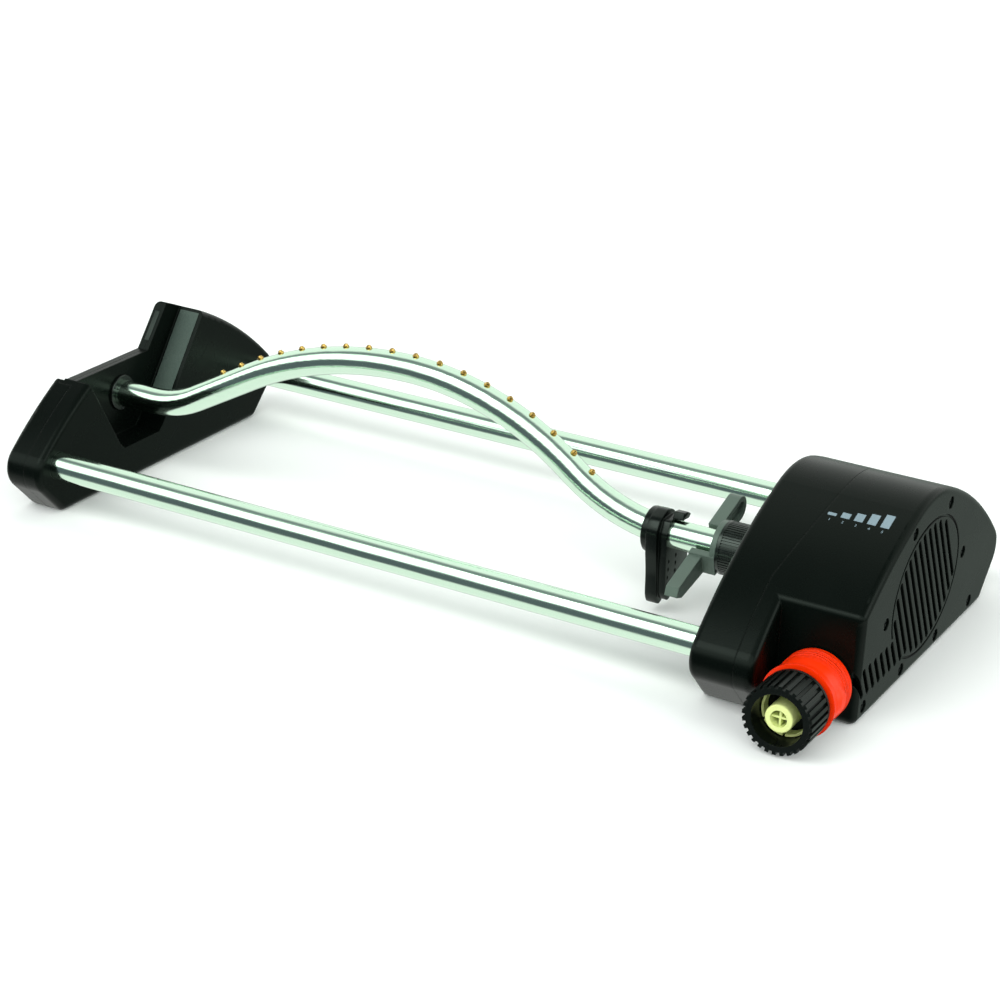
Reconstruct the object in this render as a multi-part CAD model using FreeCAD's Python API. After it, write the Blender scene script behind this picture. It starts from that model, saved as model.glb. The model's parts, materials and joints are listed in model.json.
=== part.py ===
# Oscillating lawn sprinkler: two end housings joined by two frame tubes, and an arched spray bar
# that a water turbine rocks from side to side.  Millimetres.  X runs from the foot to the gearbox,
# +Z is up and -Y is the side where the hose joins.
import FreeCAD, Part
import math
import os
from FreeCAD import Vector

# ---- driving dimensions -----------------------------------------------------------------
tube_gap = 386.0          # clear length of the frame tubes between foot and gearbox
tube_spacing = 188.5      # centre to centre of the two frame tubes
tube_radius = 7.5         # outside radius of frame tubes and spray tube
tube_wall = 1.0
tube_height = 28.4        # frame tube centre above the ground

shell_wall = 2.5
foot_thickness = 24.0
foot_inner_depth = 11.0   # part of the foot's thickness that the inner shell has
box_depth = 75.0          # gearbox thickness
box_inner_depth = 23.5    # part of it that the inner shell has, below the seam's bend
seam_bend_z = 62.0        # above this height the seam leans towards the end face
seam_lean = 20.0          # degrees

# the dome outline that foot and gearbox share: crown, long side, corner, undercut and toe, all tangent
dome_height = 91.5
dome_half_width = 111.0
dome_crown_radius = 61.0
dome_crown_angle = 19.1   # slope where the crown passes into the side
dome_side_angle = 43.0    # slope where the side passes into the corner
dome_corner_radius = 13.7
dome_undercut_angle = 45.0
dome_toe_radius = 5.0

foot_edge_round = 3.5
box_edge_round = 3.5

# the spray bar's axis, and its arch in the plane through that axis
bar_y = -17.0
bar_z = 44.0
bar_rise_angle = 29.2
bar_fall_angle = 36.7
bar_first_bend_x = 5.3
bar_entry_radius = 62.0
bar_crown_radius_rise = 205.0
bar_crown_radius_fall = 163.0
bar_exit_radius = 100.0
bar_fall_straight = 4.3

nozzle_count = 18
nozzle_pitch = 14.0
nozzle_first_at = 82.4    # distance along the bar's centre line from its foot end
nozzle_shank_radius = 1.2
nozzle_head_radius = 1.7
nozzle_head_height = 1.6
nozzle_jet_radius = 0.5

# foot recess and pivot
recess_depth = 17.0
recess_floor_z = 20.0
recess_floor_half = 16.0
recess_centre_y = -20.5
recess_corner = 4.0
recess_lean_front = 1.68  # height gained for each millimetre of outward run
recess_lean_rear = 1.43
notch_floor_z = 62.0
notch_front_y = -66.5
notch_rear_y = 8.0
notch_lean_rear = 1.3
notch_lean_front = 8.0
bush_radius = tube_radius + 1.7   # outside of the pivot bush in the foot
bar_foot_end_x = -recess_depth - shell_wall - 1.0

# running and seating gaps, all radial or per side
shaft_gap = 0.05
seat_gap = 0.05
seam_gap = 0.1
free_gap = 0.3

# hose pocket and connector
pocket_y = -82.0          # upright wall that carries the inlet
connector_gap = 1.6       # from that wall to the release sleeve
pocket_x_from_seam = 10.0
pocket_round = 4.0        # rounding of the pocket's outer edges
hose_height = 19.2        # inlet axis above the ground
hose_x_from_end = 19.5    # inlet axis to the gearbox end face
sleeve_radius = 18.0
sleeve_length = 23.5
sleeve_travel = 2.2
sleeve_flare = 0.6        # how far the sleeve widens towards the nut
nut_radius = 17.4
nut_length = 21.0
nut_mouth_radius = 13.0
nut_ribs = 28
nut_rib_width = 1.9
nut_rib_depth = 1.5
tail_radius = 7.0
tail_bore = 4.2
tail_set_back = 2.0       # from the nut's face to the spigot's tip
core_radius = 9.8
core_thread_radius = 12.6
nipple_radius = 5.75

# cooling slots and the grooved rings of the end face
slot_lean = math.radians(30)
slot_pitch = 7.05
slot_half_width = 1.65
slot_floor_z = 13.9
tail_first_y = -75.5
tail_top_z = 27.0
ring_half_y = 44.0
ring_half_z = 34.5
ring_centre_z = 42.4
ring_margin = 3.4
ring_groove_width = 1.6
ring_groove_depth = 1.1

# screws
screw_radius = 1.75
screw_head_radius = 3.1
screw_head_height = 2.2
screw_length = 14.0
post_radius = 3.6

# gear train
gear_module = 0.7
pinion_teeth = 12
wheel_teeth = 48
gear_backlash = 0.16
wheel_width = 2.5
gear_layer = 3.8          # step along X from one gear stage to the next
pin_radius = 1.5

# crank and rocker
rocker_radius = 20.0
crank_radius = 14.1
crank_y = 24.0
link_pin_radius = 2.0

# ---- values worked out from them ------------------------------------------------------------
box_x = tube_gap                                  # gearbox inner face
box_seam_x = box_x + box_inner_depth
end_x = box_x + box_depth                         # gearbox end face
foot_seam_x = -foot_inner_depth
foot_end_x = -foot_thickness
frame_half = tube_spacing / 2
crank_z = bar_z - rocker_radius + crank_radius    # makes the link level at mid swing
gear_distance = gear_module * (pinion_teeth + wheel_teeth) / 2
idle_y = crank_y - gear_distance
hose_x = end_x - hose_x_from_end

# stations along X inside the gearbox, counted from its inner face
bush_end_x = box_x + 5.0
rocker_x0 = bush_end_x + 0.6
rocker_x1 = rocker_x0 + 4.4
link_x0 = rocker_x1 + 0.4
link_x1 = link_x0 + 3.2
crank_disc_x0 = link_x1 + 1.4
crank_disc_x1 = crank_disc_x0 + 3.0
case_x0 = crank_disc_x1 + 4.0
case_wall = 2.5
case_inner_x0 = case_x0 + case_wall
case_seam_x = end_x - 11.5
case_x1 = case_seam_x + case_wall
gear_x0 = case_inner_x0 + 0.9

# case outline in YZ
case_front_y = -44.0
case_rear_y = 46.0
case_low_z = 11.0
case_high_z = 71.5
case_screw_places = [(case_front_y + 6, 42.0), (case_front_y + 6, case_high_z - 6),
                     (case_rear_y - 6, case_low_z + 6), (case_rear_y - 6, case_high_z - 6)]

housing_screw_places = [(24.0, 78.5), (52.0, 42.0), (23.5, 6.6), (72.0, 7.2)]
foot_screw_places = [(-74.0, 46.0), (-66.0, 11.0), (66.0, 11.0), (62.0, 52.0)]

# drive sleeve
sleeve_outer = tube_radius + 3.0
sleeve_start_x = box_x - 28.0
sleeve_end_x = case_x0 - 0.4
sleeve_stop_x = sleeve_end_x - 8.0                # the spray tube ends here
socket_x0 = case_x0 - 5.6
bar_seal_x = sleeve_stop_x - 5.0

# spray clamp and slotted arm
clamp_x0 = box_x - 64.0
clamp_width = 10.5
clamp_hub_length = 3.5
clamp_bore_rise = 1.5     # how far the bore follows the bar's last bend upwards
arm_x0 = box_x - 39.0
arm_x1 = arm_x0 + 7.0
arm_hub_x1 = sleeve_start_x + 3.0
arm_angle = 17.0          # rearward end up, above the horizontal
arm_drop = 2.0            # the arm's middle line passes this far under the bar's axis
arm_half_width = 6.0
arm_reach_rear = 33.0
arm_reach_front = 42.0
arm_slot_radius = 1.6
collar_x0 = arm_hub_x1 + free_gap
collar_x1 = box_x - 1.2
collar_radius = 14.0
collar_ribs = 56

# stations along Y of the hose pocket and connector
pocket_x0 = box_seam_x + pocket_x_from_seam
post_end_x = end_x - shell_wall - 3.5
nipple_tip_y = pocket_y - 20.0
core_y0 = nipple_tip_y - 1.5                      # where the nipple's tip bottoms in the core
sleeve_y0 = pocket_y - connector_gap
sleeve_y1 = sleeve_y0 - sleeve_length
nut_y0 = sleeve_y1 - sleeve_travel - free_gap
nut_y1 = nut_y0 - nut_length
collet_y0 = core_y0 - 11.2
nut_bore_length = collet_y0 + 0.02 - nut_y1

# the object's origin: middle of its length and width, on the ground
origin = Vector((foot_end_x + end_x) / 2, (dome_half_width + nut_y1) / 2, 0)

X = Vector(1, 0, 0)
Y = Vector(0, 1, 0)


# ---- helpers --------------------------------------------------------------------------------
def yz(y, z, x=0.0):
    return Vector(x, y, z)


def line(a, b):
    return Part.LineSegment(a, b).toShape()


def arc(a, mid, b):
    return Part.Arc(a, mid, b).toShape()


def polygon_prism(points, x0, x1):
    """Closed prism along X over (y, z) corners."""
    wire = Part.makePolygon([yz(y, z, x0) for y, z in points] + [yz(*points[0], x0)])
    return Part.Face(wire).extrude(X * (x1 - x0))


def rod_x(radius, x0, x1, y, z):
    return Part.makeCylinder(radius, x1 - x0, Vector(x0, y, z), X)


def ring_x(outer, inner, x0, x1, y, z):
    return rod_x(outer, x0, x1, y, z).cut(rod_x(inner, x0 - 1, x1 + 1, y, z))


def rod_y(radius, y0, y1, x=None, z=None):
    """Cylinder along Y, on the hose axis unless told otherwise."""
    at = Vector(hose_x if x is None else x, min(y0, y1), hose_height if z is None else z)
    return Part.makeCylinder(radius, abs(y1 - y0), at, Y)


def ring_y(outer, inner, y0, y1):
    return rod_y(outer, y0, y1).cut(rod_y(inner, min(y0, y1) - 1, max(y0, y1) + 1))


def box(x0, x1, y0, y1, z0, z1):
    return Part.makeBox(x1 - x0, y1 - y0, z1 - z0, Vector(x0, y0, z0))


def fuse(shapes):
    return shapes[0].multiFuse(shapes[1:]).removeSplitter() if len(shapes) > 1 else shapes[0]


def round_edges(shape, radius, wanted):
    """Fillets the edges that wanted(edge) picks."""
    return shape.makeFillet(radius, [e for e in shape.Edges if wanted(e)])


def lies_at_x(edge, x):
    return all(abs(v.X - x) < 1e-4 for v in edge.Vertexes) and abs(edge.CenterOfMass.x - x) < 1e-4


def o_ring(major, minor, centre, axis):
    return Part.makeTorus(major, minor, centre, axis)


def export(name, shape):
    moved = shape.copy()
    moved.translate(-origin)
    moved.exportStep("parts/" + name + ".step")


# ---- the dome outline -----------------------------------------------------------------------
def polar(centre, radius, angle):
    """(y, z) on a circle, its angle counted from straight up towards the side."""
    return (centre[0] + radius * math.sin(math.radians(angle)),
            centre[1] + radius * math.cos(math.radians(angle)))


def dome_half(side):
    """Edges of one half, from the middle of the base round to the crown."""
    crown_at = (0, dome_height - dome_crown_radius)
    crown_end = polar(crown_at, dome_crown_radius, dome_crown_angle)
    side_sine = math.sin(math.radians(dome_side_angle))
    side_radius = (dome_half_width - crown_end[0] - dome_corner_radius * (1 - side_sine)) \
        / (side_sine - math.sin(math.radians(dome_crown_angle)))
    side_at = polar(crown_end, -side_radius, dome_crown_angle)
    side_middle = polar(side_at, side_radius, (dome_crown_angle + dome_side_angle) / 2)
    side_end = polar(side_at, side_radius, dome_side_angle)
    corner_at = polar(side_end, -dome_corner_radius, dome_side_angle)
    under = 180 - dome_undercut_angle
    corner_middle = polar(corner_at, dome_corner_radius, (dome_side_angle + under) / 2)
    corner_end = polar(corner_at, dome_corner_radius, under)
    drop = corner_end[1] - dome_toe_radius * (1 + math.cos(math.radians(under)))
    run = drop / math.tan(math.radians(dome_undercut_angle))
    toe_start = (corner_end[0] - run, corner_end[1] - drop)
    toe_at = polar(toe_start, -dome_toe_radius, under)
    toe_middle = polar(toe_at, dome_toe_radius, (under + 180) / 2)
    points = [(0, 0), polar(toe_at, dome_toe_radius, 180), toe_middle, toe_start, corner_end,
              corner_middle, side_end, side_middle, crown_end]
    middle, base, toe, undercut, corner, widest, shoulder, flank, crown = \
        [yz(side * y, z) for y, z in points]
    return [line(middle, base), arc(base, toe, undercut), line(undercut, corner),
            arc(corner, widest, shoulder), arc(shoulder, flank, crown)]


def dome_face(inset=0.0):
    crown_y, crown_z = polar((0, dome_height - dome_crown_radius), dome_crown_radius, dome_crown_angle)
    top = arc(yz(-crown_y, crown_z), yz(0, dome_height), yz(crown_y, crown_z))
    edges = dome_half(1) + [top] + dome_half(-1)
    wire = Part.Wire(Part.__sortEdges__(edges))
    face = Part.Face(wire)
    return face.makeOffset2D(-inset) if inset else face


def dome_prism(x0, x1, inset=0.0):
    face = dome_face(inset)
    face.translate(Vector(x0, 0, 0))
    return face.extrude(X * (x1 - x0))


def rounded_dome(x0, x1, round_x, radius):
    """Dome block with its outline edge at round_x filleted."""
    return round_edges(dome_prism(x0, x1), radius, lambda e: lies_at_x(e, round_x))


# ---- foot -----------------------------------------------------------------------------------
def recess_prism(grow, x0, x1):
    """The V-shaped recess that the spray bar leaves through."""
    top = dome_height + 20
    low = recess_floor_z - grow
    front = recess_centre_y - recess_floor_half - grow
    rear = recess_centre_y + recess_floor_half + grow
    corner_z = low + recess_corner
    front_wall = front - recess_corner
    rear_wall = rear + recess_corner
    return polygon_prism([(front, low), (front_wall, corner_z),
                          (front_wall - (top - corner_z) / recess_lean_front, top),
                          (rear_wall + (top - corner_z) / recess_lean_rear, top),
                          (rear_wall, corner_z), (rear, low)], x0, x1)


def notch_prism(grow, x0, x1):
    """The cut across the foot's back layer, above the recess floor plate."""
    top = dome_height + 20
    low = notch_floor_z - grow
    front = notch_front_y - grow
    rear = notch_rear_y + grow
    return polygon_prism([(front, low), (front - (top - low) / notch_lean_front, top),
                          (rear + (top - low) / notch_lean_rear, top), (rear, low)], x0, x1)


def foot_envelope(x0, x1):
    """Solid foot shape between two stations, with the recess and the notch cut."""
    body = rounded_dome(foot_end_x, 0, 0, foot_edge_round)
    body = round_edges(body, foot_edge_round, lambda e: lies_at_x(e, foot_end_x))
    body = body.cut(recess_prism(0, -recess_depth, 1))
    body = body.cut(notch_prism(0, foot_end_x - 1, -recess_depth))
    return body.common(box(x0, x1, -200, 200, -1, 200))


def foot_posts(x0, x1, radius):
    return [rod_x(radius, x0, x1, y, z) for y, z in foot_screw_places]


def frame_sockets(x0, x1, radius):
    return [rod_x(radius, x0, x1, side * frame_half, tube_height) for side in (-1, 1)]


def make_foot_inner_shell():
    floor_x = -recess_depth - shell_wall
    shell = foot_envelope(foot_seam_x, 0)
    cavity = dome_prism(foot_seam_x - 1, -shell_wall, shell_wall)
    cavity = cavity.cut(recess_prism(shell_wall, floor_x, 1))
    shell = shell.cut(cavity)
    pocket = foot_envelope(floor_x, foot_seam_x).common(recess_prism(shell_wall, floor_x, 1))
    socket_end = foot_end_x + shell_wall + 1.5
    sockets = frame_sockets(socket_end, -shell_wall, tube_radius + 2.5)
    posts = foot_posts(foot_seam_x - 4, -shell_wall, post_radius)
    shell = fuse([shell, pocket] + sockets + posts)
    for hole in frame_sockets(socket_end + 1.5, 1, tube_radius + seat_gap):
        shell = shell.cut(hole)
    for hole in foot_posts(foot_seam_x - 5, foot_seam_x + 6, screw_radius + seat_gap):
        shell = shell.cut(hole)
    return shell.cut(rod_x(bush_radius, floor_x - 1, 0, bar_y, bar_z))


def make_foot_outer_cover():
    cover = foot_envelope(foot_end_x, foot_seam_x - seam_gap)
    cavity = dome_prism(foot_end_x + shell_wall, foot_seam_x + 1, shell_wall)
    cavity = cavity.cut(notch_prism(shell_wall, foot_end_x, 1))
    cover = cover.cut(cavity)
    opening = recess_prism(shell_wall + seam_gap, -recess_depth - shell_wall - seam_gap, 1)
    cover = cover.cut(opening)
    post_end = foot_seam_x - 4 - seam_gap
    posts = [p.common(foot_envelope(foot_end_x, foot_seam_x))
             for p in foot_posts(foot_end_x + 1, post_end, post_radius)]
    cover = fuse([cover] + posts)
    head_seat = foot_end_x + screw_head_height + 1
    for hole in foot_posts(foot_end_x - 1, head_seat, screw_head_radius + free_gap):
        cover = cover.cut(hole)
    for hole in foot_posts(foot_end_x - 1, foot_seam_x, screw_radius + free_gap):
        cover = cover.cut(hole)
    return cover


def make_screw(x_head, x_tip, y, z):
    """Pan head screw with a cross slot, its head at x_head and its shank running to x_tip."""
    way = 1 if x_tip > x_head else -1
    head = Part.makeCylinder(screw_head_radius, screw_head_height, Vector(x_head, y, z), X * way)
    head = round_edges(head, 0.8, lambda e: lies_at_x(e, x_head))
    shank = Part.makeCylinder(screw_radius, abs(x_tip - x_head), Vector(x_head, y, z), X * way)
    cross_x = sorted([x_head - way, x_head + way * 1.2])
    cross = fuse([box(*cross_x, y - 1.9, y + 1.9, z - 0.4, z + 0.4),
                  box(*cross_x, y - 0.4, y + 0.4, z - 1.9, z + 1.9)])
    return fuse([head, shank]).cut(cross)


def make_foot_screws():
    head_x = foot_end_x + 1
    return Part.makeCompound([make_screw(head_x, head_x + screw_length, y, z)
                              for y, z in foot_screw_places])


def make_pivot_bush():
    floor_x = -recess_depth - shell_wall
    body = ring_x(bush_radius - seat_gap, tube_radius + shaft_gap, floor_x - 1.0,
                  -recess_depth + 1.5, bar_y, bar_z)
    flange = ring_x(bush_radius + 1.1, tube_radius + shaft_gap, -recess_depth + seat_gap,
                    -recess_depth + 1.5, bar_y, bar_z)
    flange = round_edges(flange, 0.6, lambda e: lies_at_x(e, -recess_depth + 1.5))
    return fuse([body, flange])


# ---- frame tubes ----------------------------------------------------------------------------
def make_frame_tube(side):
    return ring_x(tube_radius, tube_radius - tube_wall, foot_end_x + shell_wall + 4,
                  box_x + 18, side * frame_half, tube_height)


# ---- spray bar ------------------------------------------------------------------------------
def bar_rise():
    """Height of the arch's crown above the bar's axis, from its falling side."""
    fall = math.radians(bar_fall_angle)
    return (bar_crown_radius_fall + bar_exit_radius) * (1 - math.cos(fall)) \
        + bar_fall_straight * math.sin(fall)


def bar_path():
    """Centre line as straight runs and tangent arcs: (kind, length or radius, turn in degrees)."""
    rise = math.radians(bar_rise_angle)
    climb = bar_rise() - (bar_entry_radius + bar_crown_radius_rise) * (1 - math.cos(rise))
    steps = [("run", bar_first_bend_x - bar_foot_end_x, 0),
             ("bend", bar_entry_radius, bar_rise_angle),
             ("run", climb / math.sin(rise), 0),
             ("bend", bar_crown_radius_rise, -bar_rise_angle),
             ("bend", bar_crown_radius_fall, -bar_fall_angle),
             ("run", bar_fall_straight, 0),
             ("bend", bar_exit_radius, bar_fall_angle)]
    here = Vector(bar_foot_end_x, bar_y, bar_z)
    heading = 0.0
    edges = []
    for kind, size, turn in steps:
        ahead = Vector(math.cos(heading), 0, math.sin(heading))
        if kind == "run":
            there = here + ahead * size
            edges.append(line(here, there))
        else:
            side = 1 if turn > 0 else -1
            centre = here + Vector(-math.sin(heading), 0, math.cos(heading)) * side * size
            points = [centre + Vector(math.sin(heading + math.radians(turn * part)), 0,
                                      -math.cos(heading + math.radians(turn * part))) * side * size
                      for part in (0.5, 1.0)]
            edges.append(arc(here, points[0], points[1]))
            there = points[1]
            heading += math.radians(turn)
        here = there
    edges.append(line(here, Vector(sleeve_stop_x, bar_y, bar_z)))
    return edges


def along_bar(distance):
    """Point and upward normal of the centre line at a distance from its foot end."""
    for edge in bar_path():
        if distance <= edge.Length:
            at = edge.getParameterByLength(distance)
            tangent = edge.tangentAt(at)
            return edge.valueAt(at), Vector(-tangent.z, 0, tangent.x)
        distance -= edge.Length
    raise ValueError("the nozzles run past the end of the spray bar")


def swept_bar(radius):
    path = Part.Wire(bar_path())
    circle = Part.Wire(Part.makeCircle(radius, Vector(bar_foot_end_x, bar_y, bar_z), X))
    return path.makePipeShell([circle], True, False)


def nozzle_seats():
    return [along_bar(nozzle_first_at + i * nozzle_pitch) for i in range(nozzle_count)]


def make_spray_tube():
    tube = swept_bar(tube_radius).cut(swept_bar(tube_radius - tube_wall))
    holes = [Part.makeCylinder(nozzle_shank_radius + seat_gap, 4, point + up * (tube_radius - 3), up)
             for point, up in nozzle_seats()]
    return tube.cut(Part.makeCompound(holes))


def make_nozzle(point, up):
    head_at = point + up * (tube_radius + 0.05)
    shank = Part.makeCylinder(nozzle_shank_radius, tube_wall + 1.2,
                              head_at - up * (tube_wall + 1.2), up)
    head = Part.makeCylinder(nozzle_head_radius, nozzle_head_height * 0.45, head_at, up)
    tip = Part.makeCone(nozzle_head_radius * 0.75, nozzle_head_radius * 0.6,
                        nozzle_head_height * 0.55, head_at + up * nozzle_head_height * 0.45, up)
    jet = Part.makeCylinder(nozzle_jet_radius, 10, head_at - up * 5, up)
    return fuse([shank, head, tip]).cut(jet)


def make_nozzles():
    return Part.makeCompound([make_nozzle(point, up) for point, up in nozzle_seats()])


def make_bar_end_plug():
    inner = tube_radius - tube_wall
    plug = rod_x(inner - seat_gap, bar_foot_end_x, bar_foot_end_x + 9, bar_y, bar_z)
    groove_x = bar_foot_end_x + 5
    return plug.cut(ring_x(inner + 1, inner - 1.9, groove_x, groove_x + 2, bar_y, bar_z))


def make_bar_end_seal():
    inner = tube_radius - tube_wall
    return o_ring(inner - 0.95, 0.85, Vector(bar_foot_end_x + 6, bar_y, bar_z), X)


def clamp_outline():
    """Lever outline round the bar's axis, as (y, z) offsets: a head and a leaf hanging from it."""
    return [line(yz(-12.5, 3), yz(-9.2, -12)),
            line(yz(-9.2, -12), yz(-8.2, -33)),
            arc(yz(-8.2, -33), yz(-7.0, -37), yz(-3.8, -38.5)),
            arc(yz(-3.8, -38.5), yz(1.0, -37), yz(4.6, -33.2)),
            line(yz(4.6, -33.2), yz(16, -26)),
            arc(yz(16, -26), yz(20.2, -21), yz(19.4, -14)),
            line(yz(19.4, -14), yz(12.5, 3)),
            arc(yz(12.5, 3), yz(0, 12.9), yz(-12.5, 3))]


def make_clamp_lever():
    wire = Part.Wire(Part.__sortEdges__(clamp_outline()))
    wire.translate(Vector(clamp_x0, bar_y, bar_z))
    lever = Part.Face(wire).extrude(X * clamp_width)
    hub = rod_x(tube_radius + 4.5, clamp_x0 - clamp_hub_length, clamp_x0 + 1, bar_y, bar_z)
    finger = box(clamp_x0 + clamp_width - 1, clamp_x0 + clamp_width + 5.5, bar_y - 1, bar_y + 6,
                 bar_z + tube_radius + free_gap, bar_z + tube_radius + 3.2)
    lever = fuse([lever, hub, finger])
    return lever.cut(clamp_bore())


def clamp_bore():
    """Bore for the bar, deepened upwards because the bar is still bending where it enters."""
    x0 = clamp_x0 - 10
    x1 = clamp_x0 + clamp_width + 10
    radius = tube_radius + seat_gap
    return fuse([rod_x(radius, x0, x1, bar_y, bar_z),
                 rod_x(radius, x0, x1, bar_y, bar_z + clamp_bore_rise),
                 box(x0, x1, bar_y - radius, bar_y + radius, bar_z, bar_z + clamp_bore_rise)])


# ---- drive: sleeve, slotted arm, rocker and link ----------------------------------------------
def make_drive_sleeve():
    sleeve = rod_x(sleeve_outer, sleeve_start_x, sleeve_end_x, bar_y, bar_z)
    sleeve = sleeve.cut(rod_x(tube_radius + shaft_gap, sleeve_start_x - 1, sleeve_stop_x + 0.5,
                              bar_y, bar_z))
    sleeve = sleeve.cut(rod_x(tube_radius - tube_wall - 1, sleeve_stop_x, sleeve_end_x + 1,
                              bar_y, bar_z))
    groove_x = sleeve_end_x - 3.6
    sleeve = sleeve.cut(ring_x(sleeve_outer + 1, sleeve_outer - 1.9, groove_x, groove_x + 2,
                               bar_y, bar_z))
    return sleeve.cut(rod_x(tube_radius + 1.8, bar_seal_x - 1, bar_seal_x + 1, bar_y, bar_z))


def make_outlet_seal():
    at = Vector(sleeve_end_x - 2.6, bar_y, bar_z)
    return o_ring(sleeve_outer - 0.95, 0.85, at, X)


def make_bar_seal():
    """O-ring between the spray tube and the sleeve that it turns in."""
    return o_ring(tube_radius + 0.93, 0.85, Vector(bar_seal_x, bar_y, bar_z), X)


def turned(shape, degrees):
    copy = shape.copy()
    copy.rotate(Vector(0, bar_y, bar_z), X, degrees)
    return copy


def arm_limb(points):
    """One limb of the arm, as (outward, upward) corners about the bar's axis."""
    return polygon_prism([(bar_y + u, bar_z + v) for u, v in points], arm_x0, arm_x1)


def make_slotted_arm():
    """Two limbs that stand off either side of the bar, joined by a hub on the sleeve."""
    top = arm_half_width - arm_drop
    low = -arm_half_width - arm_drop
    root = tube_radius + 2.2
    hub_radius = sleeve_outer + 3.0
    rear_z = bar_z - arm_drop
    rear = arm_limb([(root, low), (root, top), (arm_reach_rear, top + 1), (arm_reach_rear, low)])
    front = arm_limb([(-root, top - 2), (-root, low - 1), (-arm_reach_front + 5, low + 1.5),
                      (-arm_reach_front, low + 5), (-arm_reach_front + 3, top - 3)])
    tip = rod_x(arm_half_width + 0.5, arm_x0, arm_x1, bar_y + arm_reach_rear, rear_z + 0.5)
    feet = [box(arm_x0, arm_hub_x1, bar_y + y, bar_y + y + 4, bar_z + low, bar_z + top - 1)
            for y in (root, -root - 4)]
    hub = rod_x(hub_radius, sleeve_start_x, arm_hub_x1, bar_y, bar_z)
    arm = fuse([rear, front, tip, hub] + feet)
    slot_start = bar_y + root + 6
    slot_end = bar_y + arm_reach_rear
    slot = fuse([rod_x(arm_slot_radius, arm_x0 - 1, arm_x1 + 1, slot_end, rear_z),
                 box(arm_x0 - 1, arm_x1 + 1, slot_start, slot_end,
                     rear_z - arm_slot_radius, rear_z + arm_slot_radius)])
    lip = arm_half_width - 1.8
    channel = fuse([rod_x(lip, arm_x1 - 2, arm_x1 + 1, slot_end, rear_z),
                    box(arm_x1 - 2, arm_x1 + 1, slot_start - 2, slot_end, rear_z - lip, rear_z + lip)])
    bore = rod_x(sleeve_outer + seat_gap, sleeve_start_x - 1, arm_hub_x1 + 1, bar_y, bar_z)
    return turned(arm.cut(slot).cut(channel).cut(bore), arm_angle)


def make_range_collar():
    """Knurled collar that turns on the drive sleeve."""
    collar = ring_x(collar_radius - 0.8, sleeve_outer + shaft_gap, collar_x0, collar_x1, bar_y, bar_z)
    rim = ring_x(collar_radius, sleeve_outer + shaft_gap, collar_x0, collar_x0 + 1.6, bar_y, bar_z)
    collar = fuse([collar, rim])
    rib = box(collar_x0 + 1.4, collar_x1 - 3, bar_y - 0.4, bar_y + 0.4,
              bar_z + collar_radius - 1.6, bar_z + collar_radius - 0.1)
    ribs = [turned(rib, i * 360 / collar_ribs) for i in range(collar_ribs)]
    return fuse([collar] + ribs)


def make_spindle_bush():
    body = ring_x(sleeve_outer + 2.5, sleeve_outer + shaft_gap, box_x - 0.8, bush_end_x, bar_y, bar_z)
    flange = ring_x(sleeve_outer + 3.5, sleeve_outer + shaft_gap, box_x - 0.8, box_x - seat_gap,
                    bar_y, bar_z)
    return fuse([body, flange])


def make_rocker():
    hub = rod_x(sleeve_outer + 3, rocker_x0, rocker_x1, bar_y, bar_z)
    eye = rod_x(4.5, rocker_x0, rocker_x1, bar_y, bar_z - rocker_radius)
    web = box(rocker_x0, rocker_x1, bar_y - 4.5, bar_y + 4.5, bar_z - rocker_radius, bar_z)
    pin = rod_x(link_pin_radius, rocker_x1 - 1, link_x1 + 0.3, bar_y, bar_z - rocker_radius)
    rocker = fuse([hub, eye, web, pin])
    return rocker.cut(rod_x(sleeve_outer + seat_gap, rocker_x0 - 1, rocker_x1 + 1, bar_y, bar_z))


def make_connecting_link():
    z = bar_z - rocker_radius
    bar = box(link_x0, link_x1, bar_y, crank_y, z - 3, z + 3)
    ends = [rod_x(4.6, link_x0, link_x1, y, z) for y in (bar_y, crank_y)]
    link = fuse([bar] + ends)
    for y in (bar_y, crank_y):
        link = link.cut(rod_x(link_pin_radius + shaft_gap, link_x0 - 1, link_x1 + 1, y, z))
    return link


# ---- gear train -------------------------------------------------------------------------------
def involute(angle):
    return math.tan(angle) - angle


def gear_profile(teeth, phase):
    """Closed wire of a spur gear in the YZ plane, its tooth 0 centred at phase radians."""
    pressure = math.radians(20)
    pitch = gear_module * teeth / 2
    base = pitch * math.cos(pressure)
    tip = pitch + 0.75 * gear_module
    root = pitch - 1.05 * gear_module
    half_at_base = math.pi / (2 * teeth) + involute(pressure) - gear_backlash / 2 / pitch

    def at(radius, angle):
        return Vector(0, radius * math.cos(angle), radius * math.sin(angle))

    def half_at(radius):
        if radius <= base:
            return half_at_base
        return half_at_base - involute(math.acos(base / radius))

    start = max(root, base)
    middle = (start + tip) / 2
    edges = []
    for i in range(teeth):
        centre = phase + i * 2 * math.pi / teeth
        following = centre + 2 * math.pi / teeth
        up = [at(r, centre - half_at(r)) for r in (root, start, middle, tip)]
        down = [at(r, centre + half_at(r)) for r in (tip, middle, start, root)]
        if root < base:
            edges.append(line(up[0], up[1]))
        edges.append(arc(up[1], up[2], up[3]))
        edges.append(arc(up[3], at(tip, centre), down[0]))
        edges.append(arc(down[0], down[1], down[2]))
        if root < base:
            edges.append(line(down[2], down[3]))
        edges.append(arc(down[3] if root < base else down[2],
                         at(root if root < base else start, (centre + following) / 2),
                         at(root if root < base else start, following - half_at(start))))
    return Part.Wire(edges)


def gear_disc(teeth, x0, x1, y, z):
    """Wheels have a gap on the line of centres and pinions a tooth, so that they start in mesh."""
    phase = math.pi / teeth if teeth == wheel_teeth else 0.0
    wire = gear_profile(teeth, phase)
    wire.translate(Vector(x0, y, z))
    return Part.Face(wire).extrude(X * (x1 - x0))


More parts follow.
